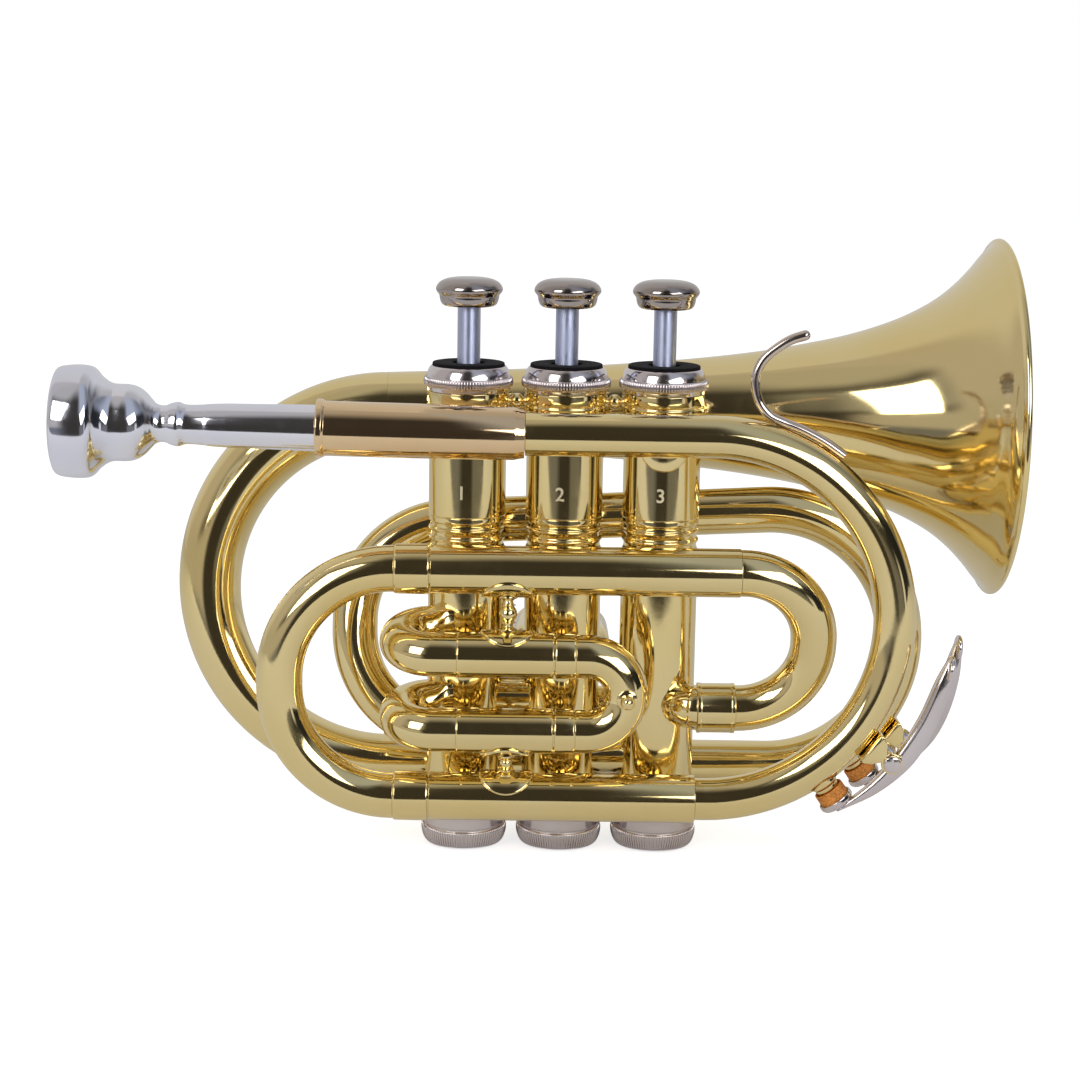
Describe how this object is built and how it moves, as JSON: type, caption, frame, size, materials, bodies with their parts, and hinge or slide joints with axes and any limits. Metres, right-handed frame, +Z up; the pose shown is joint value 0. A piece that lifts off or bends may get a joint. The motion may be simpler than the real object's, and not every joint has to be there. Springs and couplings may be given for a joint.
{
  "type": "pocket trumpet",
  "caption": "Compact brass trumpet with coiled tubing, sprung piston valves, pull-out slides, water keys, a finger hook and a flared bell.",
  "frame": {"origin": "centre of the flat face under the middle valve's bottom cap", "axes": "+Z up along the valves, +X toward the bell's mouth, +Y away from the side that carries the mouthpiece"},
  "size_m": [0.2392, 0.1066, 0.1565],
  "materials": {
    "brass": "polished and lacquered",
    "red_brass": "polished and lacquered, redder",
    "nickel": "nickel plated",
    "silver": "silver plated",
    "steel": "satin",
    "felt": "black felt",
    "cork": "natural cork"
  },
  "bodies": {
    "instrument": {"valve_casing_1": "brass", "valve_casing_2": "brass", "valve_casing_3": "brass", "top_cap_1": "nickel", "top_cap_2": "nickel", "top_cap_3": "nickel", "top_cap_felt_1": "felt", "top_cap_felt_2": "felt", "top_cap_felt_3": "felt", "bottom_cap_1": "nickel", "bottom_cap_2": "nickel", "bottom_cap_3": "nickel", "valve_guide_1": "brass", "valve_guide_2": "brass", "valve_guide_3": "brass", "valve_spring_1": "steel", "valve_spring_2": "steel", "valve_spring_3": "steel", "mouthpiece_receiver": "red_brass", "leadpipe": "brass", "lower_slide_tube": "brass", "upper_slide_tube": "brass", "small_bow": "brass", "inlet_knuckle": "brass", "first_slide_tube_upper": "brass", "first_slide_tube_lower": "brass", "third_slide_tube_upper": "brass", "third_slide_tube_lower": "brass", "branch_first_bow": "brass", "branch_rear_bow": "brass", "bell_bow": "brass", "bell": "brass", "finger_hook": "nickel", "slide_brace_upper": "brass", "slide_brace_lower": "brass", "leadpipe_brace": "brass", "bell_brace": "brass", "water_key_saddle_1": "nickel", "water_key_saddle_2": "nickel", "water_key_spring_1": "steel", "water_key_spring_2": "steel"},
    "valve_1": {"piston_1": "steel", "valve_stem_1": "steel", "finger_button_1": "nickel"},
    "valve_2": {"piston_2": "steel", "valve_stem_2": "steel", "finger_button_2": "nickel"},
    "valve_3": {"piston_3": "steel", "valve_stem_3": "steel", "finger_button_3": "nickel"},
    "mouthpiece": {"mouthpiece": "silver"},
    "tuning_slide": {"tuning_slide": "brass"},
    "first_slide": {"first_slide": "brass"},
    "second_slide": {"second_slide": "brass"},
    "third_slide": {"third_slide": "brass"},
    "water_key_1": {"water_key_lever_1": "nickel", "water_key_cork_1": "cork"},
    "water_key_2": {"water_key_lever_2": "nickel", "water_key_cork_2": "cork"}
  },
  "joints": [
    {"name": "valve_1_press", "type": "slide", "parent": "instrument", "child": "valve_1", "axis": [0, 0, -1], "range_m": [0, 0.0139], "stiffness_N_per_m": 90, "springref_m": -0.022, "deforming": ["valve_spring_1"]},
    {"name": "valve_2_press", "type": "slide", "parent": "instrument", "child": "valve_2", "axis": [0, 0, -1], "range_m": [0, 0.0139], "stiffness_N_per_m": 90, "springref_m": -0.022, "deforming": ["valve_spring_2"]},
    {"name": "valve_3_press", "type": "slide", "parent": "instrument", "child": "valve_3", "axis": [0, 0, -1], "range_m": [0, 0.0139], "stiffness_N_per_m": 90, "springref_m": -0.022, "deforming": ["valve_spring_3"]},
    {"name": "mouthpiece_pull", "type": "slide", "parent": "instrument", "child": "mouthpiece", "axis": [-0.9999, 0, 0.014], "range_m": [0, 0.0235]},
    {"name": "tuning_slide_pull", "type": "slide", "parent": "instrument", "child": "tuning_slide", "axis": [-1, 0, 0], "range_m": [0, 0.018]},
    {"name": "first_slide_pull", "type": "slide", "parent": "instrument", "child": "first_slide", "axis": [1, 0, 0], "range_m": [0, 0.012]},
    {"name": "second_slide_pull", "type": "slide", "parent": "instrument", "child": "second_slide", "axis": [0, 1, 0], "range_m": [0, 0.008]},
    {"name": "third_slide_pull", "type": "slide", "parent": "instrument", "child": "third_slide", "axis": [-1, 0, 0], "range_m": [0, 0.009]},
    {"name": "water_key_1_open", "type": "hinge", "parent": "instrument", "child": "water_key_1", "pos_m": [0.08238, -0.019, 0.02927], "axis": [0, -1, 0], "range_deg": [0, 12], "stiffness_Nm_per_rad": 0.02, "springref_deg": -28.65},
    {"name": "water_key_2_open", "type": "hinge", "parent": "instrument", "child": "water_key_2", "pos_m": [0.09236, 0.0172, 0.02297], "axis": [0, -1, 0], "range_deg": [0, 12], "stiffness_Nm_per_rad": 0.02, "springref_deg": -28.65}
  ]
}
